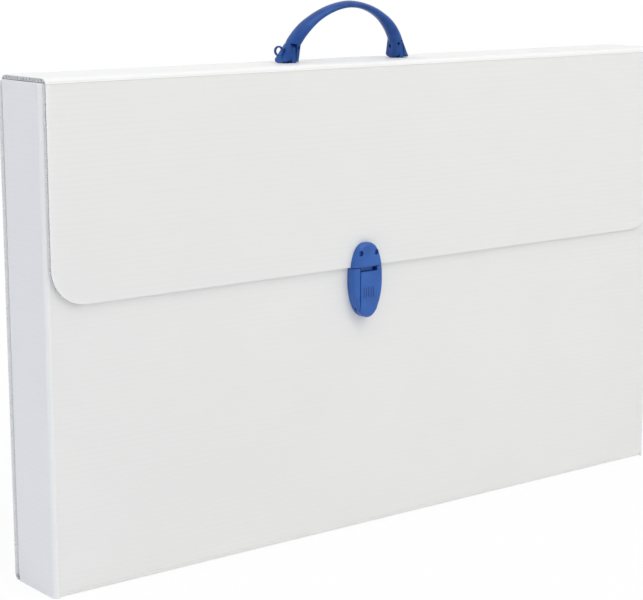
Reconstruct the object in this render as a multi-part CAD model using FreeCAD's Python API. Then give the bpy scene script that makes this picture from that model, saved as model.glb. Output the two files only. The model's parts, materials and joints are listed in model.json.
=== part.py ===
import FreeCAD, Part
import math
import os

# Document case folded from fluted plastic sheet. All sizes in millimetres.
# X runs along the width, Y from front to back, Z up. The origin is the middle of the bottom face.

# Case
case_width = 630.0
case_depth = 60.0
case_height = 380.0
sheet = 3.0           # thickness of the fluted sheet
skin = 0.35           # thickness of each face of the sheet
rib = 0.35            # thickness of the walls between flutes
flute_pitch = 4.2     # nearest spacing of the flutes
fold_radius = 4.0     # outside radius of a crease
pressed = 1.0         # thickness of the sheet where a crease is pressed
slit = 0.3            # die-cut slit between neighbouring creases
lid_gap = 0.4         # lid above the rims, flap in front of the front panel
hinge_gap = 0.1       # between a bending crease and the panel that swings
rear_tab = 40.0       # width of the tabs that join the sides to the back
bottom_tab = 36.0     # height of the tabs that join the bottom to the sides
tab_gap = 1.0         # tabs stay this far from the next fold

# Lid and flap
lid_inset = 3.0       # the lid and flap are this much narrower at each end
flap_length = 162.5   # from the top of the lid down to the flap's edge
flap_corner = 28.0

# Lock
lock_line = -26.0     # middle of the lock, left of the middle of the case
lock_width = 30.0
lock_height = 61.0
lock_above = 19.5     # the hasp reaches this far above the flap's edge
lock_proud = 9.0      # face of the lock in front of the front panel
lock_blunt = 2.4      # power of the upper half's outline: 2 is an ellipse, more is blunter
lock_round = 2.6      # rounding of the outer edges
seam = 0.6            # gap between hasp and base
base_floor = 3.0
latch_width = 17.0
latch_side_gap = 0.35
latch_clear = 0.2     # under the latch, and around its runners
latch_proud = 0.5     # the latch stands this much in front of the base
latch_travel = 3.0
latch_head = 4.0      # height of the latch's thin head
runner = 1.3          # how far the latch's runners reach into the base
runner_thick = 2.0
tongue_width = 12.0
tongue_length = 3.5
tongue_thick = 2.0
tongue_gap = 0.3      # between tongue and latch head
stop_width = 4.0      # peg on the base's floor that ends the latch's travel
stop_height = 1.2
stop_long = 4.0
stop_drop = 7.0       # top of the peg below the middle of the lock
stop_slack = 0.1
runner_drop = 17.0    # lower end of the runners below the middle of the lock
grip_rib_count = 5    # raised ribs for the thumb on the latch
grip_rib_width = 1.2
grip_rib_proud = 0.5
grip_rib_long = 8.0
grip_rib_drop = 5.5   # top of the ribs below the middle of the lock
grip_rib_pitch = 2.4
rivet_spread = 7.8    # from the middle of the lock to a rivet
rivet_rise = 11.2     # above the flap's edge
rivet_radius = 1.25
rivet_head = 2.0
rivet_head_deep = 1.5  # heads lie this deep in the hasp
rivet_head_thick = 0.8
rivet_tail = 3.0
rivet_tail_thick = 0.7
rivet_room = 0.2      # around heads and tails
fit = 0.05            # radial clearance of pins, rivets and screws in their holes
plate_thick = 2.0     # backing plates
plate_margin = 1.0    # lock plate past the lock at each side
plate_drop = 13.0     # lower edge of the lock plate below the middle of the lock
plate_corner = 4.0
lock_screw_low = 7.0  # lower lock screws below the middle of the lock
lock_screw_high = 5.0
screw_cover = 3.0     # plastic in front of a screw's tip
screw_radius = 1.1
screw_head = 2.2
screw_head_thick = 1.4

# Handle
handle_line = -21.3   # middle of the handle, left of the middle of the case
handle_half = 56.3    # from the middle of the handle to the middle of the arch at the lid
handle_rise = 45.2    # middle of the grip above the lid at the top of the arch
arch_power = 1.84     # 2 makes the arch half an ellipse, less makes it more pointed
handle_lean = 11.3    # degrees that the grip leans to the front where it was left
pivot_height = 9.6    # middle of the pivot pins above the lid
boot_line = 57.1      # middle of a boot's lower end, from the middle of the handle
boot_long = 17.6      # lower end of a boot along the width of the case
boot_deep = 14.6
boot_corner = 4.0
boot_top = 16.0       # upper end of a boot above the lid
boot_top_line = 51.9
boot_top_long = 8.8
boot_top_deep = 13.2
boot_clear = 0.35     # round underside of a boot above the lid
hollow_line = 51.0    # small blind hole in the front of each boot
hollow_height = 13.0
hollow_radius = 1.2
hollow_deep = 3.0
foot_line = 55.0      # middle of a foot, from the middle of the handle
lug_thick = 3.6       # upright lug that goes into the boot
lug_radius = 6.0
lug_stop = 2.7        # square shoulders of a lug above the pin, which end the swing
lug_gap = 0.4         # between a lug and its boot
ring_radius = 4.0     # ring at the outer end of the left pin
ring_hole = 2.7
ring_off = 2.6        # hole of the ring outside the boot
ring_thick = 1.6
ring_neck = 0.6       # radius of the neck between pin and ring
pin_radius = 1.5
pin_sink = 1.2        # pin ends lie this deep in the boots
handle_screw_spacing = 7.6
handle_screw_cover = 2.0
handle_plate_reach = 12.0  # backing plate past the feet
handle_plate_deep = 22.0

# The grip's thickness and depth at angles from the lid: 0 degrees is the foot, 90 the top
grip_sections = [
    (0.0, 10.7, 13.6),
    (20.0, 10.7, 13.6),
    (38.0, 9.3, 12.8),
    (56.0, 6.6, 11.2),
    (74.0, 5.3, 10.4),
    (90.0, 5.3, 10.4),
]

# Planes that several pieces share
left = -case_width / 2
right = case_width / 2
front = -case_depth / 2
back = case_depth / 2
rim = case_height - sheet - lid_gap
lid_under = case_height - sheet
flap_face = front - lid_gap - sheet
flap_edge = case_height - flap_length
handle_y = (flap_face + back) / 2
lock_face = front - lock_proud
lock_middle = flap_edge + lock_above - lock_height / 2
lid_half = case_width / 2 - lid_inset
past = 1.0            # cutting shapes reach this far past what they cut
bite = 0.5            # shapes that are joined into one overlap by this much

V = FreeCAD.Vector
X = V(1, 0, 0)
Y = V(0, 1, 0)
Z = V(0, 0, 1)


def box(x0, x1, y0, y1, z0, z1):
    return Part.makeBox(x1 - x0, y1 - y0, z1 - z0, V(x0, y0, z0))


def cylinder(radius, start, end):
    return Part.makeCylinder(radius, (end - start).Length, start, end - start)


def rounded_plate(x0, x1, y0, y1, z0, z1, radius, axis):
    """A box whose four edges along one axis are rounded."""
    plate = box(x0, x1, y0, y1, z0, z1)
    edges = [e for e in plate.Edges if abs(e.tangentAt(e.FirstParameter).dot(axis)) > 0.99]
    return plate.makeFillet(radius, edges)


def fluted(corner, along, across, through):
    """A sheet with open flutes along one vector, side by side across the second, thick along the third."""
    width = across.Length
    thick = through.Length
    a = V(across).normalize()
    b = V(through).normalize()

    def outline(u0, u1, v0, v1):
        points = [corner + a * u + b * v for u, v in ((u0, v0), (u1, v0), (u1, v1), (u0, v1))]
        return Part.makePolygon(points + points[:1])

    count = max(1, int((width - rib) / flute_pitch))
    pitch = (width - rib) / count
    flutes = [outline(i * pitch + rib, (i + 1) * pitch, skin, thick - skin) for i in range(count)]
    section = Part.Face([outline(0, width, 0, thick)] + flutes)
    section.validate()
    return outward(section.extrude(along))


def outward(solid):
    """The same solid with its faces turned outward."""
    if solid.Volume < 0:
        solid.reverse()
    return solid


def crease(centre, first, second, along):
    """A quarter of a thin tube between two panels, from one direction round to the other."""
    middle = (first + second).normalize()
    inner = fold_radius - pressed
    outer = [centre + way * fold_radius for way in (first, middle, second)]
    hollow = [centre + way * inner for way in (second, middle, first)]
    edges = [
        Part.Arc(*outer).toShape(),
        Part.makeLine(outer[2], hollow[0]),
        Part.Arc(*hollow).toShape(),
        Part.makeLine(hollow[2], outer[0]),
    ]
    return outward(Part.Face(Part.Wire(edges)).extrude(along))


def mirrored(shape):
    return shape.mirror(V(0, 0, 0), X)


nodes = {}

# Front, bottom, back and the creases between them
front_long = case_width - 2 * fold_radius
nodes["front_panel"] = fluted(
    V(left + fold_radius, front, fold_radius), X * front_long, Z * (rim - fold_radius), Y * sheet)
bottom_start = left + sheet + fold_radius
bottom_long = case_width - 2 * (sheet + fold_radius)
nodes["bottom_panel"] = fluted(
    V(bottom_start, front + fold_radius, 0), X * bottom_long, Y * (case_depth - 2 * fold_radius), Z * sheet)
nodes["back_panel"] = fluted(
    V(left, back - sheet, fold_radius), X * case_width, Z * (case_height - 2 * fold_radius), Y * sheet)
crease_long = case_width - 2 * (fold_radius + slit)
nodes["bottom_front_crease"] = crease(
    V(left + fold_radius + slit, front + fold_radius, fold_radius), -Y, -Z, X * crease_long)
nodes["bottom_rear_crease"] = crease(V(left, back - fold_radius, fold_radius), Y, -Z, X * case_width)

# Left side with its creases and tabs, then the same at the right
side_deep = case_depth - sheet - 2 * fold_radius
side_panel = fluted(V(left, front + fold_radius, 0), Y * side_deep, Z * rim, X * sheet)
front_side_crease = crease(V(left + fold_radius, front + fold_radius, 0), -X, -Y, Z * rim)
tab_foot = fold_radius + slit
rear_side_crease = crease(
    V(left + fold_radius, back - sheet - fold_radius, tab_foot), -X, Y, Z * (rim - tab_foot))
rear_side_tab = fluted(
    V(left + fold_radius, back - 2 * sheet, tab_foot), X * rear_tab, Z * (rim - tab_foot), Y * sheet)
low_start = front + fold_radius + tab_gap
low_long = case_depth - sheet - 2 * (fold_radius + tab_gap)
bottom_side_crease = crease(V(bottom_start, low_start, fold_radius), -X, -Z, Y * low_long)
bottom_side_tab = fluted(
    V(left + sheet, low_start, fold_radius), Z * bottom_tab, Y * low_long, X * sheet)
for name, shape in (
    ("side_panel", side_panel),
    ("front_crease", front_side_crease),
    ("rear_crease", rear_side_crease),
    ("rear_tab", rear_side_tab),
    ("bottom_crease", bottom_side_crease),
    ("bottom_tab", bottom_side_tab),
):
    nodes["left_" + name] = shape
    nodes["right_" + name] = mirrored(shape)

# Lid, flap and the two creases that bend
lid_start = flap_face + fold_radius
lid_deep = back - fold_radius - hinge_gap - lid_start
lid_panel = fluted(V(-lid_half, lid_start, lid_under), X * 2 * lid_half, Y * lid_deep, Z * sheet)
fold_height = case_height - fold_radius
nodes["lid_crease"] = crease(V(-lid_half, back - fold_radius, fold_height), Y, Z, X * 2 * lid_half)
nodes["flap_crease"] = crease(V(-lid_half, lid_start, fold_height), -Y, Z, X * 2 * lid_half)
flap_tall = flap_length - fold_radius - hinge_gap
flap_panel = fluted(V(-lid_half, flap_face, flap_edge), X * 2 * lid_half, Z * flap_tall, Y * sheet)
for side in (-1, 1):
    corner = V(side * (lid_half - flap_corner), flap_face, flap_edge + flap_corner)
    round_off = cylinder(flap_corner, corner - Y * past, corner + Y * (sheet + past))
    edge_x = sorted((corner.x, side * (lid_half + past)))
    spandrel = box(edge_x[0], edge_x[1], flap_face - past, flap_face + sheet + past, flap_edge - past, corner.z)
    flap_panel = flap_panel.cut(spandrel.cut(round_off))

# Lock: hasp on the flap, base on the front panel, and the latch between them
lock_half = lock_width / 2
lock_bottom = lock_middle - lock_height / 2
lock_top = lock_middle + lock_height / 2
outline_steps = 24


def oval(y0, y1):
    """An upright oval block from a front plane to a back plane, blunter at its top, its front edge rounded."""
    middle = V(lock_line, y0, lock_middle)
    lower = Part.Ellipse(middle - Z * (lock_height / 2), middle - X * lock_half, middle)
    upper_points = []
    for i in range(outline_steps + 1):
        t = math.pi * i / outline_steps
        across = abs(math.cos(t)) ** (2 / lock_blunt) * math.copysign(lock_half, math.cos(t))
        upper_points.append(middle + X * across + Z * (math.sin(t) ** (2 / lock_blunt) * lock_height / 2))
    upper_points[0] = middle + X * lock_half
    upper_points[-1] = middle - X * lock_half
    upper = Part.BSplineCurve()
    upper.interpolate(Points=upper_points, InitialTangent=Z, FinalTangent=-Z)
    half_turn = Part.ArcOfEllipse(lower, -math.pi / 2, math.pi / 2)
    block = outward(Part.Face(Part.Wire([half_turn.toShape(), upper.toShape()])).extrude(Y * (y1 - y0)))
    front_edges = [e for e in block.Edges if abs(e.BoundBox.YMax - y0) < 0.01]
    return block.makeFillet(lock_round, front_edges)


base_top = flap_edge - seam
channel_half = latch_width / 2 + latch_side_gap
floor_face = front - base_floor
runner_half = latch_width / 2 + runner
groove_half = channel_half + runner
latch_back = floor_face - latch_clear
runner_face = latch_back - runner_thick
groove_face = runner_face - latch_clear
latch_top = flap_edge - tongue_length - tongue_gap
runner_top = latch_top - latch_head
runner_bottom = lock_middle - runner_drop
groove_top = runner_top + latch_travel + latch_clear
stop_top = lock_middle - stop_drop
stop_bottom = stop_top - stop_long

base = oval(lock_face, front)
base = base.common(box(left, right, lock_face - past, front, lock_bottom - past, base_top))
base = base.cut(box(lock_line - channel_half, lock_line + channel_half, lock_face - past, floor_face,
                    lock_bottom - past, base_top + past))
base = base.cut(box(lock_line - groove_half, lock_line + groove_half, groove_face, floor_face,
                    lock_bottom - past, groove_top))
base = base.fuse(box(lock_line - stop_width / 2, lock_line + stop_width / 2,
                     floor_face - stop_height, floor_face + bite, stop_bottom, stop_top)).removeSplitter()

latch_face = lock_face - latch_proud
latch = oval(latch_face, latch_back)
latch = latch.common(box(lock_line - latch_width / 2, lock_line + latch_width / 2,
                         latch_face - past, latch_back, lock_bottom - past, latch_top))
tongue_face = (lock_face + flap_face) / 2 + latch_clear
head_back = tongue_face - tongue_gap
latch = latch.cut(box(left, right, head_back, latch_back + past, latch_top - latch_head, latch_top + past))
latch = latch.fuse(box(lock_line - runner_half, lock_line + runner_half, runner_face, latch_back,
                       runner_bottom, runner_top))
latch = latch.cut(box(lock_line - stop_width / 2 - latch_clear, lock_line + stop_width / 2 + latch_clear,
                      latch_back - stop_height - latch_clear, latch_back + past,
                      stop_bottom - latch_travel - stop_slack, stop_top + stop_slack))
rib_top = lock_middle - grip_rib_drop
for i in range(grip_rib_count):
    rib_x = lock_line + (i - (grip_rib_count - 1) / 2) * grip_rib_pitch - grip_rib_width / 2
    latch = latch.fuse(box(rib_x, rib_x + grip_rib_width, latch_face - grip_rib_proud,
                           latch_face + grip_rib_proud, rib_top - grip_rib_long, rib_top))
latch = latch.removeSplitter()

hasp = oval(lock_face, flap_face)
hasp = hasp.common(box(left, right, lock_face - past, flap_face, flap_edge, lock_top + past))
hasp = hasp.fuse(box(lock_line - tongue_width / 2, lock_line + tongue_width / 2,
                     tongue_face, tongue_face + tongue_thick, flap_edge - tongue_length, flap_edge + bite))

rivets = []
rivet_front = lock_face + rivet_head_deep
rivet_back = flap_face + sheet
rivet_end = rivet_back - rivet_room / 2
head_under = rivet_front + rivet_head_thick
tail_under = rivet_end - rivet_tail_thick
for side in (-1, 1):
    at = V(lock_line + side * rivet_spread, 0, flap_edge + rivet_rise)
    hole = cylinder(rivet_radius + fit, at + Y * (lock_face - past), at + Y * (rivet_back + past))
    head_room = cylinder(rivet_head + rivet_room, at + Y * (lock_face - past), at + Y * head_under)
    tail_room = cylinder(rivet_tail + rivet_room, at + Y * tail_under, at + Y * (rivet_back + past))
    hasp = hasp.cut(hole).cut(head_room)
    flap_panel = flap_panel.cut(hole).cut(tail_room)
    shank = cylinder(rivet_radius, at + Y * rivet_front, at + Y * rivet_end)
    head = cylinder(rivet_head, at + Y * rivet_front, at + Y * head_under)
    tail = cylinder(rivet_tail, at + Y * tail_under, at + Y * rivet_end)
    rivets.append(shank.fuse([head, tail]).removeSplitter())

# Backing plate and screws behind the lock base
front_inside = front + sheet
lock_plate = rounded_plate(
    lock_line - lock_half - plate_margin, lock_line + lock_half + plate_margin,
    front_inside, front_inside + plate_thick, lock_middle - plate_drop, base_top, plate_corner, Y)
front_panel = nodes["front_panel"]
screw_x = (groove_half + lock_half) / 2
screw_tip = lock_face + screw_cover
lock_screws = []
for side in (-1, 1):
    for rise in (-lock_screw_low, lock_screw_high):
        at = V(lock_line + side * screw_x, 0, lock_middle + rise)
        tip = V(at.x, screw_tip, at.z)
        seat = V(at.x, front_inside + plate_thick, at.z)
        top = V(at.x, seat.y + screw_head_thick, at.z)
        shank = cylinder(screw_radius, tip, seat)
        hole = cylinder(screw_radius + fit, tip, seat + Y * past)
        base = base.cut(hole)
        front_panel = front_panel.cut(hole)
        lock_plate = lock_plate.cut(hole)
        lock_screws.append(shank.fuse(cylinder(screw_head, seat, top)).removeSplitter())
nodes["front_panel"] = front_panel

# Handle: arched grip with a boot at each end, two feet, pivot pins, backing plate and screws
pin_z = case_height + pivot_height
pivot = V(handle_line, handle_y, pin_z)
foot_x = handle_line - foot_line
boot_round = pivot_height - boot_clear


def arch_point(angle):
    """A point on the middle of the upright grip."""
    t = math.radians(angle)
    across = math.copysign(abs(math.cos(t)) ** (2 / arch_power), math.cos(t))
    return V(handle_line - handle_half * across, handle_y, case_height + handle_rise * math.sin(t) ** (2 / arch_power))


def arch(angle):
    """A point on the middle of the upright grip, and the direction straight out from the arch there."""
    along = arch_point(angle + 1) - arch_point(angle - 1)
    return arch_point(angle), V(-along.z, 0, along.x).normalize()


def grip_size(angle):
    """Thickness and depth of the grip, between the listed sections."""
    fold = min(angle, 180 - angle)
    for (a0, n0, d0), (a1, n1, d1) in zip(grip_sections, grip_sections[1:]):
        if fold <= a1:
            s = (fold - a0) / (a1 - a0)
            return n0 + s * (n1 - n0), d0 + s * (d1 - d0)
    return grip_sections[-1][1:]


def other_end(shape):
    return shape.mirror(V(handle_line, 0, 0), X)


def boot_outline(line, long, deep, height):
    """A rectangle with round corners across the left boot."""
    x0 = handle_line - line - long / 2
    plate = rounded_plate(x0, x0 + long, handle_y - deep / 2, handle_y + deep / 2,
                          case_height + height, case_height + height + past, boot_corner, Z)
    return [f for f in plate.Faces if abs(f.BoundBox.ZMax - case_height - height) < 0.01][0].OuterWire


def boot_side(height, side):
    """X of the left boot's outer side (-1) or inner side (1) at a height above the lid."""
    s = (height - boot_clear) / (boot_top - boot_clear)
    line = boot_line + s * (boot_top_line - boot_line)
    return handle_line - line + side * (boot_long + s * (boot_top_long - boot_long)) / 2


# The grip is made upright and then leans about the pins. Its legs start inside the boots
loft_start = math.degrees(math.asin((pivot_height / 2 / handle_rise) ** (arch_power / 2)))
loft_steps = 14
sections = []
for i in range(loft_steps + 1):
    angle = loft_start + (180 - 2 * loft_start) * i / loft_steps
    point, away = arch(angle)
    thick, deep = grip_size(angle)
    curve = Part.Ellipse(point + Y * (deep / 2), point + away * (thick / 2), point)
    sections.append(Part.Wire(curve.toShape()))
legs = Part.makeLoft(sections, True, False)

boot_low = boot_outline(boot_line, boot_long, boot_deep, boot_clear)
boot_high = boot_outline(boot_top_line, boot_top_long, boot_top_deep, boot_top)
boot = outward(Part.makeLoft([boot_low, boot_high], True, True))
boot_start = V(boot_side(boot_clear, -1) - past, handle_y, pin_z)
boot_end = V(boot_side(boot_top, 1) + past, handle_y, pin_z)
underside = box(boot_start.x, boot_end.x, handle_y - boot_deep, handle_y + boot_deep, case_height, pin_z)
boot = boot.cut(underside.cut(cylinder(boot_round, boot_start, boot_end)))
lug_room = lug_thick / 2 + lug_gap
slot = box(foot_x - lug_room, foot_x + lug_room, handle_y - boot_deep, handle_y + boot_deep,
           case_height, pin_z + lug_radius + lug_gap)
hollow_at = V(handle_line - hollow_line, handle_y - boot_deep, case_height + hollow_height)
hollow = cylinder(hollow_radius, hollow_at, hollow_at + Y * (boot_deep / 2 + hollow_deep))
pin_hole = cylinder(pin_radius + fit, boot_start, boot_end)
grip = legs.fuse([boot, other_end(boot)]).removeSplitter()
for cutter in (slot, hollow, pin_hole):
    grip = grip.cut(cutter).cut(other_end(cutter))
grip.rotate(pivot, X, handle_lean)

shoulders = box(foot_x - lug_thick / 2, foot_x + lug_thick / 2, handle_y - lug_radius, handle_y + lug_radius,
                case_height, pin_z + lug_stop)
lug_side = V(foot_x - lug_thick / 2, handle_y, pin_z)
foot = shoulders.fuse(cylinder(lug_radius, lug_side, lug_side + X * lug_thick)).cut(pin_hole)

pin_start = V(boot_side(pivot_height, -1) + pin_sink, handle_y, pin_z)
pin = cylinder(pin_radius, pin_start, V(boot_side(pivot_height, 1) - pin_sink, handle_y, pin_z))
ring_at = V(boot_side(pivot_height, -1) - ring_off - ring_hole, handle_y - ring_thick / 2, pin_z)
ring = cylinder(ring_radius, ring_at, ring_at + Y * ring_thick)
ring_bore = cylinder(ring_hole, ring_at - Y * past, ring_at + Y * (ring_thick + past))
neck = cylinder(ring_neck, V(ring_at.x, handle_y, pin_z), pin_start)
ring_pin = pin.fuse([neck, ring]).cut(ring_bore).removeSplitter()

plate_end = foot_x - lug_thick / 2 - handle_plate_reach
handle_plate = rounded_plate(
    plate_end, 2 * handle_line - plate_end, handle_y - handle_plate_deep / 2, handle_y + handle_plate_deep / 2,
    lid_under - plate_thick, lid_under, plate_corner, Z)
half_screws = []
half_holes = []
for side in (-1, 1):
    at = V(foot_x, handle_y + side * handle_screw_spacing / 2, lid_under - plate_thick)
    tip = V(at.x, at.y, pin_z - handle_screw_cover)
    shank = cylinder(screw_radius, at, tip)
    half_screws.append(shank.fuse(cylinder(screw_head, at - Z * screw_head_thick, at)).removeSplitter())
    half_holes.append(cylinder(screw_radius + fit, at - Z * past, tip))
foot = foot.cut(Part.makeCompound(half_holes)).removeSplitter()
handle_holes = Part.makeCompound(half_holes + [other_end(h) for h in half_holes])
lid_panel = lid_panel.cut(handle_holes)
handle_plate = handle_plate.cut(handle_holes)

nodes["lid_panel"] = lid_panel
nodes["flap_panel"] = flap_panel
nodes["hasp_plate"] = hasp
nodes["hasp_rivets"] = Part.makeCompound(rivets)
nodes["lock_base"] = base
nodes["latch_slider"] = latch
nodes["lock_plate"] = lock_plate
nodes["lock_screws"] = Part.makeCompound(lock_screws)
nodes["handle_grip"] = grip
nodes["left_handle_foot"] = foot
nodes["right_handle_foot"] = other_end(foot)
nodes["left_handle_pin"] = ring_pin
nodes["right_handle_pin"] = other_end(pin)
nodes["handle_plate"] = handle_plate
nodes["handle_screws"] = Part.makeCompound(half_screws + [other_end(s) for s in half_screws])

os.makedirs("parts", exist_ok=True)
for name, shape in nodes.items():
    shape.exportStep("parts/" + name + ".step")
    print(name, len(shape.Solids), "solids,", round(shape.Volume / 1000, 3), "cm3, valid", shape.isValid())
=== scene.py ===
# %% [markdown]
# A document case, dressed
#
# The case is a flat carrying box for drawings, folded from white fluted plastic sheet. It has a lid, a flap
# that comes down over the front, a blue handle and a blue lock. Its solids are already built to size, so
# this lesson only loads them as a fixed frame and gives every surface its look. Nothing that is loaded is
# moved.

# %% Load the frame
import json
import math
import random

import bmesh
import bpy
from mathutils import Matrix, Vector, noise


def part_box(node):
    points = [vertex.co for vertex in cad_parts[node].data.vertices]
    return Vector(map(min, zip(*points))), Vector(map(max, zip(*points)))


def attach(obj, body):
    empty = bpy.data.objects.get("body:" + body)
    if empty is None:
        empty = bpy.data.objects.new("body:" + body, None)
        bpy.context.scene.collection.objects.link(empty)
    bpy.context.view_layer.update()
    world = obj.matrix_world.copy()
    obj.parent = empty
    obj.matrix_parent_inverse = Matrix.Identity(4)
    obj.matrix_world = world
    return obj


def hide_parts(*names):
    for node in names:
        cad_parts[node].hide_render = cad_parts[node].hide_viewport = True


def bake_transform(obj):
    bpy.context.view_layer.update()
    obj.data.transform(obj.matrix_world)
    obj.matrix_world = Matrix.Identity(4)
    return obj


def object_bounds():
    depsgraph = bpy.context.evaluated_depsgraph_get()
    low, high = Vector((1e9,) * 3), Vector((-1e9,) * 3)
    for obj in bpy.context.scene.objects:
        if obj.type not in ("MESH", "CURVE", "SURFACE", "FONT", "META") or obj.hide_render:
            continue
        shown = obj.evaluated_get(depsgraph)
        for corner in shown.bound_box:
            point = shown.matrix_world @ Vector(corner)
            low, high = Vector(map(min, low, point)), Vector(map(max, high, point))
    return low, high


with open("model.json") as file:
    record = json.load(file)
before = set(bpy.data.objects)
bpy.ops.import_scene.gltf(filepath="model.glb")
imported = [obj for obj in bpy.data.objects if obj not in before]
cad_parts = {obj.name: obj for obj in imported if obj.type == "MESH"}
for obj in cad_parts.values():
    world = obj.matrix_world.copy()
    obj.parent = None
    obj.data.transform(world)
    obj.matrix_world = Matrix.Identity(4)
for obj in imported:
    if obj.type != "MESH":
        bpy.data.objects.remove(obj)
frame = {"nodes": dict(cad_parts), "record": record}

cad_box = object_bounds()
nodes = frame["nodes"]
slot_of = {row["node"]: row["material_slot"] for row in frame["record"]["subparts"]}
MM = 0.001

# %% [markdown]
# The camera
#
# A camera can be placed by eye, or worked out from the corners of the box in the picture. The second way is
# the sure one, because the case is a plain box of known size: its corners fix the place, the heading, the
# tilt and the length of the lens. A long lens keeps the upright edges nearly parallel.

# %% Camera
camera_place = Vector((-951.4, -1164.5, 469.7)) * MM
camera_heading = math.radians(-37.931)
camera_tilt = math.radians(10.853)
camera_roll = math.radians(-0.163)
camera_lens = 103.34
sensor_width = 36.0

camera_data = bpy.data.cameras.new("camera")
camera_data.lens = camera_lens
camera_data.sensor_width = sensor_width
camera = bpy.data.objects.new("camera", camera_data)
turn = Matrix.Rotation(camera_heading, 4, "Z")
tip = Matrix.Rotation(math.pi / 2 - camera_tilt, 4, "X")
camera.matrix_world = Matrix.Translation(camera_place) @ turn @ tip @ Matrix.Rotation(camera_roll, 4, "Z")
bpy.context.collection.objects.link(camera)
bpy.context.scene.camera = camera
print("camera:", round(camera_place.length, 2), "m from the origin, lens", camera_lens, "mm")

# %% [markdown]
# Light and floor
#
# The case stands in an even white studio. One way is a closed white room lit by lamps; a lighter one is a
# bright sky that shines from all round, with five soft lamps to shape the planes. The sky is used here. The
# top gets most light, the front a little less, and the short side, turned from the main lamp, is the
# darkest and coolest. The overhead lamp grazes the front, so that the flap leaves a broad, soft shade under
# its edge. A low lamp behind the case keeps its back from going grey; it is left out of reflections, so
# that the lid does not flare.

# %% Sky
scene = bpy.context.scene
scene.view_settings.view_transform = "Standard"
sky_light = 0.63
sky_colour = (0.97, 0.985, 1.0, 1.0)
backdrop_light = 1.0
pure_white = (1.0, 1.0, 1.0, 1.0)
sky = bpy.data.worlds.new("studio")
sky.use_nodes = True
scene.world = sky


def add_node(tree, kind, **settings):
    """A new node of one kind in a node tree, with some of its settings."""
    made = tree.nodes.new("ShaderNode" + kind)
    for key, value in settings.items():
        setattr(made, key, value)
    return made


def seen_directly(tree):
    """A socket that is 1 for the camera, for mirrored rays and for rays through glass."""
    path = add_node(tree, "LightPath")
    seen = path.outputs["Is Camera Ray"]
    for ray in ("Is Glossy Ray", "Is Transmission Ray"):
        either = add_node(tree, "Math", operation="MAXIMUM")
        tree.links.new(seen, either.inputs[0])
        tree.links.new(path.outputs[ray], either.inputs[1])
        seen = either.outputs[0]
    return seen


sky_tree = sky.node_tree
glow = sky_tree.nodes["Background"]
glow.inputs["Color"].default_value = sky_colour
glow.inputs["Strength"].default_value = sky_light
backdrop = add_node(sky_tree, "Background")
backdrop.inputs["Color"].default_value = pure_white
backdrop.inputs["Strength"].default_value = backdrop_light
choose = add_node(sky_tree, "MixShader")
sky_tree.links.new(seen_directly(sky_tree), choose.inputs[0])
sky_tree.links.new(glow.outputs[0], choose.inputs[1])
sky_tree.links.new(backdrop.outputs[0], choose.inputs[2])
sky_tree.links.new(choose.outputs[0], sky_tree.nodes["World Output"].inputs["Surface"])
print("sky strength", sky_light)

# %% Lamps
object_middle = (cad_box[0] + cad_box[1]) / 2


def soft_lamp(name, place, size, power, colour):
    """A square lamp that faces the middle of the case."""
    lamp_data = bpy.data.lights.new(name, "AREA")
    lamp_data.size = size
    lamp_data.energy = power
    lamp_data.color = colour
    lamp = bpy.data.objects.new(name, lamp_data)
    lamp.location = place
    lamp.rotation_mode = "QUATERNION"
    lamp.rotation_quaternion = (object_middle - Vector(place)).to_track_quat("-Z", "Y")
    bpy.context.collection.objects.link(lamp)
    return lamp


soft_lamp("main_lamp", place=(0.5, -2.0, 2.2), size=2.2, power=26.5, colour=(1.0, 0.985, 0.955))
soft_lamp("top_lamp", place=(-0.9, 1.0, 2.2), size=1.6, power=4.5, colour=(1.0, 0.995, 0.98))
soft_lamp("overhead_lamp", place=(-0.3, -0.7, 2.4), size=1.4, power=9.5, colour=(1.0, 0.99, 0.97))
soft_lamp("side_lamp", place=(-2.2, 0.3, 1.2), size=1.4, power=7.0, colour=(0.53, 0.60, 1.0))
rear_lamp = soft_lamp("rear_lamp", place=(-0.3, 2.2, 0.55), size=0.9, power=7.5, colour=(1.0, 0.995, 0.985))
rear_lamp.visible_glossy = False

# %% Floor
floor_half = 6.0
floor_glow_near = 0.90
floor_near = 0.35
floor_far = 1.0
floor_grey = (0.9, 0.9, 0.9, 1.0)
floor_rough = 0.9
floor_shine = 0.1
floor_signs = ((-1, -1), (1, -1), (1, 1), (-1, 1))
floor_mesh = bpy.data.meshes.new("floor")
floor_mesh.from_pydata([(x * floor_half, y * floor_half, 0.0) for x, y in floor_signs], [], [(0, 1, 2, 3)])
floor = bpy.data.objects.new("floor", floor_mesh)
bpy.context.collection.objects.link(floor)

floor_finish = bpy.data.materials.new("floor_white")
floor_finish.use_nodes = True
floor_tree = floor_finish.node_tree
matt = floor_tree.nodes["Principled BSDF"]
matt.inputs["Base Color"].default_value = floor_grey
matt.inputs["Roughness"].default_value = floor_rough
matt.inputs["Specular IOR Level"].default_value = floor_shine
paper = add_node(floor_tree, "Emission")
paper.inputs["Color"].default_value = pure_white
share = add_node(floor_tree, "Math", operation="MULTIPLY")
far_off = add_node(floor_tree, "VectorMath", operation="LENGTH")
floor_tree.links.new(add_node(floor_tree, "TexCoord").outputs["Object"], far_off.inputs[0])
fade = add_node(floor_tree, "MapRange", interpolation_type="SMOOTHSTEP")
for socket, number in zip(("From Min", "From Max", "To Min"), (floor_near, floor_far, floor_glow_near)):
    fade.inputs[socket].default_value = number
floor_tree.links.new(far_off.outputs["Value"], fade.inputs["Value"])
floor_mix = add_node(floor_tree, "MixShader")
floor_tree.links.new(seen_directly(floor_tree), share.inputs[0])
floor_tree.links.new(fade.outputs["Result"], share.inputs[1])
floor_tree.links.new(share.outputs[0], floor_mix.inputs[0])
floor_tree.links.new(matt.outputs[0], floor_mix.inputs[1])
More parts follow.
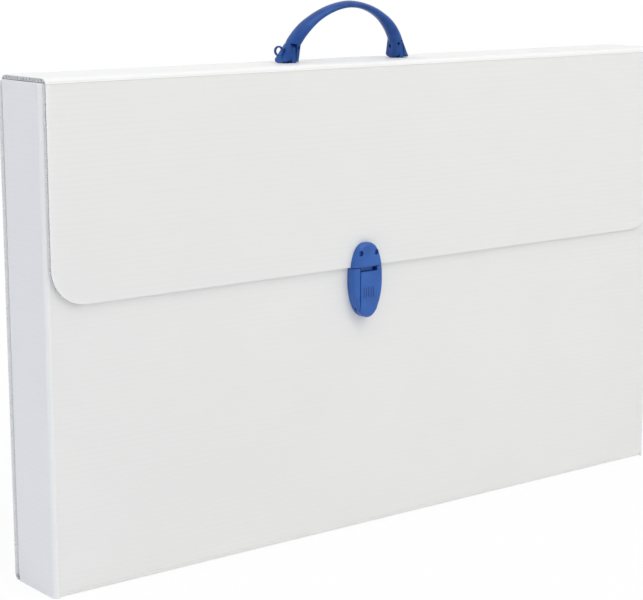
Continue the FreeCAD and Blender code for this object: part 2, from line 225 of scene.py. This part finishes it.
floor_tree.links.new(paper.outputs[0], floor_mix.inputs[2])
floor_tree.links.new(floor_mix.outputs[0], floor_tree.nodes["Material Output"].inputs["Surface"])
floor.data.materials.append(floor_finish)
print("floor", 2 * floor_half, "m square")

# %% [markdown]
# Ways to mix a finish
#
# Each finish is a small tree of nodes. The same few moves come back in all of them: read the place of a
# point on the object, make a noise of a given size, remap a value, and find the edges. They are written
# once here. Edges are found by comparing the true normal with one that is rounded over a short radius.

# %% Finish helpers
edge_round = 0.5 * MM
edge_rays = 6
edge_agreement = 0.7
noise_low, noise_high = 0.3, 0.7


class Finish:
    """A material on the Principled shader, with short ways to add and join nodes."""

    def __init__(self, name):
        self.material = bpy.data.materials.new(name)
        self.material.use_nodes = True
        self.tree = self.material.node_tree
        self.shader = self.tree.nodes["Principled BSDF"]
        self.place = self.add("TexCoord").outputs["Object"]

    def add(self, kind, **settings):
        """A new node in the tree of this finish."""
        return add_node(self.tree, kind, **settings)

    def join(self, out, into):
        """A link from one socket to another."""
        self.tree.links.new(out, into)

    def along(self, axis):
        """The place of a point along one axis: 0, 1 or 2 for X, Y or Z."""
        split = self.add("SeparateXYZ")
        self.join(self.place, split.inputs[0])
        return split.outputs[axis]

    def math(self, operation, first, second=0.0):
        """One sum; each side is a socket or a number."""
        made = self.add("Math", operation=operation)
        for socket, value in zip(made.inputs, (first, second)):
            if isinstance(value, (int, float)):
                socket.default_value = value
            else:
                self.join(value, socket)
        return made.outputs[0]

    def remap(self, value, low, high, to_low, to_high, smooth=False):
        """A value moved from one range to another, and held at its ends."""
        made = self.add("MapRange", interpolation_type="SMOOTHSTEP" if smooth else "LINEAR")
        ends = {"From Min": low, "From Max": high, "To Min": to_low, "To Max": to_high}
        for name, number in ends.items():
            made.inputs[name].default_value = number
        self.join(value, made.inputs["Value"])
        return made.outputs["Result"]

    def noise(self, sizes, detail=3.0, rough=0.5):
        """Noise whose grains have these sizes along X, Y and Z, in millimetres."""
        scale = self.add("Mapping", vector_type="POINT")
        scale.inputs["Scale"].default_value = [1.0 / MM / s for s in sizes]
        self.join(self.place, scale.inputs["Vector"])
        made = self.add("TexNoise")
        made.inputs["Scale"].default_value = 1.0
        made.inputs["Detail"].default_value = detail
        made.inputs["Roughness"].default_value = rough
        self.join(scale.outputs[0], made.inputs["Vector"])
        return made.outputs["Fac"]

    def spread(self, grain, to_low, to_high):
        """The usual range of a noise, stretched between two values."""
        return self.remap(grain, noise_low, noise_high, to_low, to_high)

    def rounded(self):
        """The normal of the surface as if its sharp edges were rounded."""
        made = self.add("Bevel", samples=edge_rays)
        made.inputs["Radius"].default_value = edge_round
        return made.outputs[0]

    def edges(self, soft_normal):
        """Near 1 on sharp outer and inner edges, 0 on flat faces."""
        flat = self.add("NewGeometry")
        dot = self.add("VectorMath", operation="DOT_PRODUCT")
        self.join(soft_normal, dot.inputs[0])
        self.join(flat.outputs["Normal"], dot.inputs[1])
        return self.remap(dot.outputs["Value"], 1.0, edge_agreement, 0.0, 1.0, smooth=True)

    def blend_colour(self, share, first, second):
        """A mix of two colours, each a socket or three numbers."""
        made = self.add("Mix", data_type="RGBA")
        for socket, value in ((made.inputs[6], first), (made.inputs[7], second)):
            if isinstance(value, tuple):
                socket.default_value = (*value, 1.0)
            else:
                self.join(value, socket)
        self.join(share, made.inputs[0])
        return made.outputs[2]

    def bump(self, height, depth, below=None):
        """A normal that follows a height from 0 to 1, this deep, on top of the normal below it."""
        made = self.add("Bump")
        made.inputs["Distance"].default_value = depth
        made.inputs["Strength"].default_value = 1.0
        self.join(height, made.inputs["Height"])
        if below is not None:
            self.join(below, made.inputs["Normal"])
        return made.outputs["Normal"]

    def set(self, **values):
        """Constant values, straight on the shader's own sockets."""
        for name, value in values.items():
            self.shader.inputs[name.replace("_", " ")].default_value = value

    def feed(self, **sockets):
        """Values that vary over the surface."""
        for name, socket in sockets.items():
            self.join(socket, self.shader.inputs[name.replace("_", " ")])


print("finish helpers ready")

# %% [markdown]
# White fluted sheet
#
# The sheet is two thin skins of polypropylene with a row of walls between them. Light comes through the
# skins, so each wall shows as a faint line, and the skin sinks a little between the walls. Extruding leaves
# fine streaks along the flutes. A picture of lines could be laid on, but the true spacing is known from the
# solids, so the lines are worked out from it and fall exactly on the walls of each panel. Cut ends look
# pale, not black, because the light that enters through the skins is scattered from wall to wall; there
# the plastic lets more light through, and its colour is painted whiter to stand in for that light.

# %% White plastic
sheet_white = (0.845, 0.842, 0.826)
sheet_shade = (0.795, 0.795, 0.785)
sheet_dirt = (0.66, 0.65, 0.62)
sheet_smooth, sheet_dull = 0.40, 0.52
sheet_shine = 0.42
sheet_ior = 1.49
sheet_glow = 0.3
sheet_depth = 1.0 * MM
shade_most = 0.55
dirt_most = 0.55
cloud_size = (90.0, 90.0, 90.0)
patch_size = (30.0, 30.0, 30.0)
patch_low, patch_high = 0.42, 0.68


def white_plastic(finish, streak_sizes):
    """Roughness and depth of light of all the white sheet. Gives its colour and its streaks."""
    cloud = finish.noise(cloud_size, detail=2.0)
    streak = finish.noise(streak_sizes, detail=4.0, rough=0.6)
    tone = finish.math("ADD", finish.math("MULTIPLY", cloud, 0.5), finish.math("MULTIPLY", streak, 0.5))
    colour = finish.blend_colour(finish.spread(tone, 0.0, shade_most), sheet_white, sheet_shade)
    edge = finish.edges(finish.rounded())
    patch = finish.noise(patch_size, detail=5.0, rough=0.65)
    dirt = finish.math("MULTIPLY", edge, finish.remap(patch, patch_low, patch_high, 0.0, dirt_most))
    colour = finish.blend_colour(dirt, colour, sheet_dirt)
    finish.feed(Roughness=finish.spread(streak, sheet_smooth, sheet_dull))
    finish.set(Specular_IOR_Level=sheet_shine, IOR=sheet_ior)
    finish.set(Subsurface_Weight=sheet_glow, Subsurface_Scale=sheet_depth)
    finish.set(Subsurface_Radius=(1.0, 1.0, 1.0))
    return colour, streak


print("white plastic ready")

# %% White fluted sheet
# painted light: a whiter colour for the walls and cut ends between the skins, in place of light scattered
# between the walls
flute_white_painted_light = (0.975, 0.975, 0.968)
flute_pitch = 4.2 * MM
wall_thick = 0.35 * MM
wall_near, wall_off = 0.05, 0.16
wall_line = 0.22
flute_sink = 0.035 * MM
streak_sink = 0.012 * MM
skin_from, skin_to = 0.02 * MM, 0.10 * MM
panel_streaks = {"y": (160.0, 0.9, 40.0), "z": (160.0, 40.0, 0.9)}
panel_axis = {
    "front_panel": "z", "back_panel": "z", "bottom_panel": "y", "lid_panel": "y", "flap_panel": "z",
    "left_side_panel": "z", "right_side_panel": "z", "left_rear_tab": "z", "right_rear_tab": "z",
    "left_bottom_tab": "y", "right_bottom_tab": "y",
}


def between_skins(finish, node):
    """1 on the walls and cut ends between the two skins of a panel, 0 on its outer faces."""
    low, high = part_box(node)
    sizes = high - low
    through = min(range(3), key=lambda i: sizes[i])
    from_middle = finish.math("SUBTRACT", finish.along(through), (low[through] + high[through]) / 2)
    depth = finish.math("SUBTRACT", sizes[through] / 2, finish.math("ABSOLUTE", from_middle))
    return finish.remap(depth, skin_from, skin_to, 0.0, 1.0)


def fluted_white(node, axis):
    """The sheet of one panel, its flutes side by side along Y or Z, and how many they are."""
    low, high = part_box(node)
    start = getattr(low, axis)
    width = getattr(high, axis) - start
    count = max(1, int((width - wall_thick) / flute_pitch))
    pitch = (width - wall_thick) / count
    finish = Finish("white_sheet_" + node)
    colour, streak = white_plastic(finish, panel_streaks[axis])
    from_wall = finish.math("SUBTRACT", finish.along("xyz".index(axis)), start + wall_thick / 2)
    wave = finish.math("PINGPONG", finish.math("DIVIDE", from_wall, pitch), 0.5)
    line = finish.remap(wave, wall_near, wall_off, wall_line, 0.0, smooth=True)
    inside = between_skins(finish, node)
    colour = finish.blend_colour(line, colour, sheet_shade)
    # painted light: walls and cut ends take the whiter colour, standing in for light scattered between them
    finish.feed(Base_Color=finish.blend_colour(inside, colour, flute_white_painted_light))
    finish.feed(Subsurface_Weight=finish.remap(inside, 0.0, 1.0, sheet_glow, 1.0))
    sunk = finish.remap(wave, 0.0, 0.5, 1.0, 0.0, smooth=True)
    finish.feed(Normal=finish.bump(streak, streak_sink, finish.bump(sunk, flute_sink)))
    return finish.material, count


def dress(piece, material):
    """One finish over a whole piece."""
    piece.data.materials.clear()
    piece.data.materials.append(material)


for name, axis in panel_axis.items():
    material, count = fluted_white(name, axis)
    dress(nodes[name], material)
    print(name, "has", count, "flutes along", axis)

# %% [markdown]
# Pressed folds
#
# At a fold the flutes are crushed flat with a hot rule, and the thin strip that is left bends. The solids
# have it as a smooth quarter tube. Here each strip is built again as a fine mesh with what pressing leaves:
# two grooves from the edges of the rule, ripples where the strip crosses crushed flutes, and a little
# waviness. The folds of the lid and the flap are tied to no body; all the others stay with the case.

# %% Shape of a pressed fold
fold_radius = 4.0 * MM
fold_thick = 1.0 * MM
fold_around = 20
groove_deep = 0.24 * MM
groove_half = 0.09
groove_places = (0.18, 0.82)
groove_sharp = 2.0
ripple_deep = 0.13 * MM
ripple_samples = 8
wave_deep = 0.10 * MM
wave_length = 26.0 * MM
wave_across = 2.0
wave_start_most = 50.0
plain_step = 4.0 * MM
edge_hold = 4.0
sharp_angle = math.radians(40.0)
AXES = {"x": Vector((1, 0, 0)), "y": Vector((0, 1, 0)), "z": Vector((0, 0, 1))}


def way(word):
    """The direction that a sign and a letter name."""
    return AXES[word[1]] * (-1 if word[0] == "-" else 1)


def keep_mesh(name, mesh):
    """An object from an edit mesh, its normals turned outward, smooth but for its sharp edges."""
    bmesh.ops.recalc_face_normals(mesh, faces=mesh.faces)
    data = bpy.data.meshes.new(name)
    mesh.to_mesh(data)
    mesh.free()
    data.shade_smooth()
    data.set_sharp_from_angle(angle=sharp_angle)
    piece = bpy.data.objects.new(name, data)
    bpy.context.collection.objects.link(piece)
    return piece


def fold_sink(share, at, begin, pitch, seed):
    """How far the strip lies under the quarter tube, at a share of the turn and a place along the fold."""
    swell = math.sin(share * math.pi)
    from_groove = [(share - g) / groove_half for g in groove_places]
    sink = sum(groove_deep * math.exp(-groove_sharp * f ** 2) for f in from_groove)
    if pitch:
        sink += ripple_deep * swell * (0.5 + 0.5 * math.cos(2 * math.pi * (at - begin) / pitch))
    wave = noise.noise(Vector((at / wave_length, share * wave_across, seed)))
    sink += wave_deep * swell * (0.5 + 0.5 * wave)
    return sink * min(1.0, swell * edge_hold)


def pressed_fold(name, node, first, second, along, pitch):
    """A fold in place of a crease, from one outward direction round to the other. Pitch 0: no ripples."""
    low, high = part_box(node)
    a, b, c = way(first), way(second), AXES[along]
    both = a + b
    centre = Vector([low[i] if both[i] > 0 else high[i] for i in range(3)])
    begin, end = c.dot(low), c.dot(high)
    step = pitch / ripple_samples if pitch else plain_step
    steps = max(2, round((end - begin) / step))
    seed = random.uniform(0.0, wave_start_most)
    mesh = bmesh.new()
    outer_rows, inner_rows = [], []
    for i in range(steps + 1):
        at = begin + (end - begin) * i / steps
        spot = centre + c * (at - c.dot(centre))
        outer, inner = [], []
        for j in range(fold_around + 1):
            share = j / fold_around
            out = a * math.cos(share * math.pi / 2) + b * math.sin(share * math.pi / 2)
            sink = fold_sink(share, at, begin, pitch, seed)
            outer.append(mesh.verts.new(spot + out * (fold_radius - sink)))
            inner.append(mesh.verts.new(spot + out * (fold_radius - fold_thick)))
        outer_rows.append(outer)
        inner_rows.append(inner)
    for rows in (outer_rows, inner_rows):
        for r0, r1 in zip(rows, rows[1:]):
            for j in range(fold_around):
                mesh.faces.new((r0[j], r0[j + 1], r1[j + 1], r1[j]))
    for j in (0, fold_around):
        for i in range(steps):
            mesh.faces.new((outer_rows[i][j], outer_rows[i + 1][j], inner_rows[i + 1][j], inner_rows[i][j]))
    for i in (0, steps):
        for j in range(fold_around):
            mesh.faces.new((outer_rows[i][j], outer_rows[i][j + 1], inner_rows[i][j + 1], inner_rows[i][j]))
    return keep_mesh(name, mesh)


print("folds have", fold_around, "faces round their turn")

# %% Finish of a pressed fold
fold_pale = (0.875, 0.873, 0.862)
pale_low, pale_high = 0.35, 0.65
pale_least, pale_most = 0.2, 0.9
fold_grain = 0.02 * MM


def fold_white(name, streak_sizes):
    """The sheet where it was pressed: denser and a little whiter."""
    finish = Finish(name)
    colour, streak = white_plastic(finish, streak_sizes)
    pale = finish.remap(streak, pale_low, pale_high, pale_least, pale_most)
    finish.feed(Base_Color=finish.blend_colour(pale, colour, fold_pale))
    finish.feed(Normal=finish.bump(streak, fold_grain))
    return finish.material


fold_finish = {
    "x": fold_white("white_fold_x", (120.0, 0.6, 0.6)),
    "y": fold_white("white_fold_y", (0.6, 120.0, 0.6)),
    "z": fold_white("white_fold_z", (0.6, 0.6, 120.0)),
}
print("fold finishes:", [m.name for m in fold_finish.values()])

# %% Pressed folds
wave_seed = 7
random.seed(wave_seed)
front_low, front_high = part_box("front_panel")
front_tall = front_high.z - front_low.z - wall_thick
front_pitch = front_tall / int(front_tall / flute_pitch)
fold_list = [("bottom_front", "-y", "-z", "x", 0.0), ("bottom_rear", "+y", "-z", "x", 0.0)]
for side, outward in (("left", "-x"), ("right", "+x")):
    fold_list.append((side + "_front", outward, "-y", "z", front_pitch))
    fold_list.append((side + "_rear", outward, "+y", "z", front_pitch))
    fold_list.append((side + "_bottom", outward, "-z", "y", 0.0))
fold_list += [("lid", "+y", "+z", "x", 0.0), ("flap", "-y", "+z", "x", 0.0)]
for name, first, second, along, pitch in fold_list:
    crease = name + "_crease"
    fold = pressed_fold(name + "_fold", crease, first, second, along, pitch)
    fold.data.materials.append(fold_finish[along])
    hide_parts(crease)
    if name == "lid":
        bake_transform(fold)
    elif name == "flap":
        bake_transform(fold)
    else:
        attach(fold, "case")
    print(fold.name, "has", len(fold.data.polygons), "faces")

# %% [markdown]
# Blue moulded plastic
#
# Handle and lock are injection moulded in blue. The mould is finely etched, so the surface has a tiny grain
# and a broken, soft shine. Hands polish it in places, and the sharp edges wear paler. The handle is a
# thicker moulding that mirrors less, so it gets the same finish with its own values; its blue is darker
# than the lock's as painted shade.

# %% Blue moulded plastic
blue_cloud = (14.0, 14.0, 14.0)
blue_rub = (6.0, 6.0, 6.0)
blue_grain = (0.35, 0.35, 0.35)
rub_low, rub_high = 0.4, 0.65
rub_most = 0.6
grain_deep = 0.012 * MM
blue_ior = 1.5


def blue_plastic(name, deep, bright, worn, smooth, dull, shine):
    """Blue between two tones, paler on worn edges, with a roughness between two values and one shine."""
    finish = Finish(name)
    cloud = finish.noise(blue_cloud, detail=4.0)
    colour = finish.blend_colour(finish.spread(cloud, 0.0, 1.0), deep, bright)
    soft_normal = finish.rounded()
    edge = finish.edges(soft_normal)
    rub = finish.remap(finish.noise(blue_rub, detail=5.0), rub_low, rub_high, 0.0, rub_most)
    colour = finish.blend_colour(finish.math("MULTIPLY", edge, rub), colour, worn)
    grain = finish.noise(blue_grain, detail=2.0)
    finish.feed(Base_Color=colour, Roughness=finish.spread(cloud, smooth, dull))
    finish.feed(Normal=finish.bump(grain, grain_deep, soft_normal))
    finish.set(Specular_IOR_Level=shine, IOR=blue_ior)
    return finish.material


lock_blue = blue_plastic(
    "lock_blue", deep=(0.014, 0.085, 0.345), bright=(0.026, 0.116, 0.425), worn=(0.085, 0.210, 0.560),
    smooth=0.30, dull=0.44, shine=0.42)
# painted shade: the handle's deep and bright blues are darker than the lock's
handle_blue_painted_shade = blue_plastic(
    "handle_blue_painted_shade", deep=(0.004, 0.041, 0.200), bright=(0.013, 0.084, 0.330), worn=(0.060, 0.165, 0.430),
    smooth=0.25, dull=0.42, shine=0.28)
for name, slot in slot_of.items():
    if slot == "blue_plastic":
        dress(nodes[name], handle_blue_painted_shade if "handle" in name else lock_blue)
print("blue on", [n for n, s in slot_of.items() if s == "blue_plastic"])

# %% [markdown]
# Backing plates and steel
#
# Inside the case, two plain white plates spread the load of the handle and the lock. They are moulded too,
# but left matt. The screws are bright zinc-plated steel, which shows fine turning marks and dull spots.

# %% Backing plates
plate_tones = ((0.74, 0.74, 0.73), (0.69, 0.69, 0.675))
plate_cloud = (22.0, 22.0, 22.0)
plate_grain = (0.5, 0.5, 0.5)
plate_smooth, plate_dull = 0.55, 0.66
plate_deep = 0.025 * MM
plate_shine = 0.4


def plate_white():
    """Matt white moulded plastic."""
    finish = Finish("plate_white")
    cloud = finish.noise(plate_cloud, detail=3.0)
    colour = finish.blend_colour(finish.spread(cloud, 0.0, 1.0), *plate_tones)
    grain = finish.noise(plate_grain, detail=2.0)
    finish.feed(Base_Color=colour, Roughness=finish.spread(cloud, plate_smooth, plate_dull))
    finish.feed(Normal=finish.bump(grain, plate_deep))
    finish.set(Specular_IOR_Level=plate_shine)
    return finish.material


plate = plate_white()
for name, slot in slot_of.items():
    if slot == "white_plate":
        dress(nodes[name], plate)
        print(name, "is plate white")

# %% Zinc-plated steel
zinc_tones = ((0.62, 0.63, 0.65), (0.50, 0.50, 0.50))
zinc_cloud = (2.5, 2.5, 2.5)
zinc_marks = (0.15, 1.5, 0.15)
zinc_smooth, zinc_dull = 0.22, 0.38
zinc_deep = 0.008 * MM


def zinc_steel():
    """Bright plated steel with turning marks."""
    finish = Finish("zinc_steel")
    cloud = finish.noise(zinc_cloud, detail=4.0)
    colour = finish.blend_colour(finish.spread(cloud, 0.0, 1.0), *zinc_tones)
    marks = finish.noise(zinc_marks, detail=2.0)
    finish.feed(Base_Color=colour, Roughness=finish.spread(cloud, zinc_smooth, zinc_dull))
    finish.feed(Normal=finish.bump(marks, zinc_deep))
    finish.set(Metallic=1.0)
    return finish.material


steel = zinc_steel()
for name, slot in slot_of.items():
    if slot == "steel":
        dress(nodes[name], steel)
        print(name, "is zinc steel")

# %% [markdown]
# Screws and rivets
#
# The fasteners are small, but they are what one sees with the case open. A screw is turned as a profile,
# and its head is pressed with a cross. It could be cut with a boolean; a height worked out for each point
# of the head is quicker and leaves cleaner faces. The rivets are turned profiles with a low dome.

# %% Turned bodies


def ring(mesh, spot, axis, radius, turns):
    """A circle of points about an axis, or one point where the radius is 0."""
    if radius == 0.0:
        return [mesh.verts.new(spot)]
    side = axis.orthogonal().normalized()
    up = axis.cross(side)
    angles = [2 * math.pi * i / turns for i in range(turns)]
    return [mesh.verts.new(spot + (side * math.cos(t) + up * math.sin(t)) * radius) for t in angles]


def skin(mesh, rings, turns):
    """Faces between each ring and the next; a ring of one point closes an end."""
    for low_row, high_row in zip(rings, rings[1:]):
        for i in range(turns):
            pair = (i, (i + 1) % turns)
            loop = [low_row[k % len(low_row)] for k in pair]
            loop += [high_row[k % len(high_row)] for k in reversed(pair)]
            mesh.faces.new(list(dict.fromkeys(loop)))


print("turned bodies ready")

# %% Screws
screw_head = 2.2 * MM
screw_head_high = 1.4 * MM
screw_shank = 1.1 * MM
screw_turns, screw_rings = 72, 20
cross_arm = 0.60 * screw_head
cross_slot = 0.17 * screw_head
cross_deep = 0.55 * screw_head_high
cross_slope = 3.0
head_drop = 0.5
head_power = 5


def cross_depth(x, y):
    """How deep the cross is at a point of the head, from 0 to 1."""
    one_way = max(abs(x) / cross_arm, abs(y) / cross_slot)
    other_way = max(abs(x) / cross_slot, abs(y) / cross_arm)
    return max(0.0, min(1.0, (1.0 - min(one_way, other_way)) * cross_slope))


def screw(mesh, seat, axis, shank_long):
    """A pan head with a cross on its seat, and a shank that goes the other way."""
    side = axis.orthogonal().normalized()
    rings = [ring(mesh, seat + axis * (screw_head_high - cross_deep), axis, 0.0, screw_turns)]
    for k in range(1, screw_rings + 1):
        share = k / screw_rings
        row = ring(mesh, seat, axis, share * screw_head, screw_turns)
        for point in row:
            out = point.co - seat
            x, y = out.dot(side), out.dot(axis.cross(side))
            dome = screw_head_high * (1.0 - head_drop * share ** head_power)
            point.co += axis * (dome - cross_deep * cross_depth(x, y))
        rings.append(row)
    shank_end = screw_shank - shank_long
    shank = [(screw_head, 0.0), (screw_shank, 0.0), (screw_shank, shank_end), (0.0, -shank_long)]
    rings += [ring(mesh, seat + axis * along, axis, radius, screw_turns) for radius, along in shank]
    skin(mesh, rings, screw_turns)


def screw_set(name, node, axis, body):
    """Four screws at the corners of a node's box, their heads at its far face along the axis."""
    low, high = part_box(node)
    corners = [low + Vector([screw_head] * 3), high - Vector([screw_head] * 3)]
    reach = abs((high - low).dot(axis))
    face = high if axis.dot(high - low) > 0 else low
    mesh = bmesh.new()
    for i in (0, 1):
        for j in (0, 1):
            seat = Vector((corners[i].x, corners[j].y, corners[j].z))
            for k in range(3):
                if axis[k]:
                    seat[k] = face[k] - axis[k] * screw_head_high
            screw(mesh, seat, axis, reach - screw_head_high)
    piece = keep_mesh(name, mesh)
    piece.data.materials.append(steel)
    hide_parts(node)
    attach(piece, body)
    print(name, "has", len(piece.data.polygons), "faces")


screw_set("lock_screw_set", "lock_screws", Vector((0, 1, 0)), "case")
screw_set("handle_screw_set", "handle_screws", Vector((0, 0, -1)), "lid")

# %% Rivets
rivet_low, rivet_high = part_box("hasp_rivets")
rivet_long = rivet_high.y - rivet_low.y
rivet_tail = (rivet_high.z - rivet_low.z) / 2
rivet_middle = (rivet_low.z + rivet_high.z) / 2
rivet_head, rivet_shank = 2.0 * MM, 1.25 * MM
head_thick, tail_thick = 0.8 * MM, 0.7 * MM
rivet_turns = 40
rivet_profile = [
    (0.0, 0.0), (0.3 * rivet_head, 0.03 * MM), (0.6 * rivet_head, 0.14 * MM),
    (0.85 * rivet_head, 0.36 * MM), (rivet_head, 0.7 * head_thick), (rivet_head, head_thick),
    (rivet_shank, head_thick), (rivet_shank, rivet_long - tail_thick),
    (rivet_tail, rivet_long - tail_thick), (rivet_tail, rivet_long - 0.4 * tail_thick),
    (0.9 * rivet_tail, rivet_long - 0.1 * tail_thick), (0.75 * rivet_tail, rivet_long), (0.0, rivet_long),
]
rivet_mesh = bmesh.new()
inward = AXES["y"]
for x in (rivet_low.x + rivet_tail, rivet_high.x - rivet_tail):
    start = Vector((x, rivet_low.y, rivet_middle))
    rows = [ring(rivet_mesh, start + inward * y, inward, r, rivet_turns) for r, y in rivet_profile]
    skin(rivet_mesh, rows, rivet_turns)
rivet_pair = keep_mesh("rivet_pair", rivet_mesh)
rivet_pair.data.materials.append(lock_blue)
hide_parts("hasp_rivets")
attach(rivet_pair, "flap")
print("rivets:", len(rivet_pair.data.polygons), "faces")
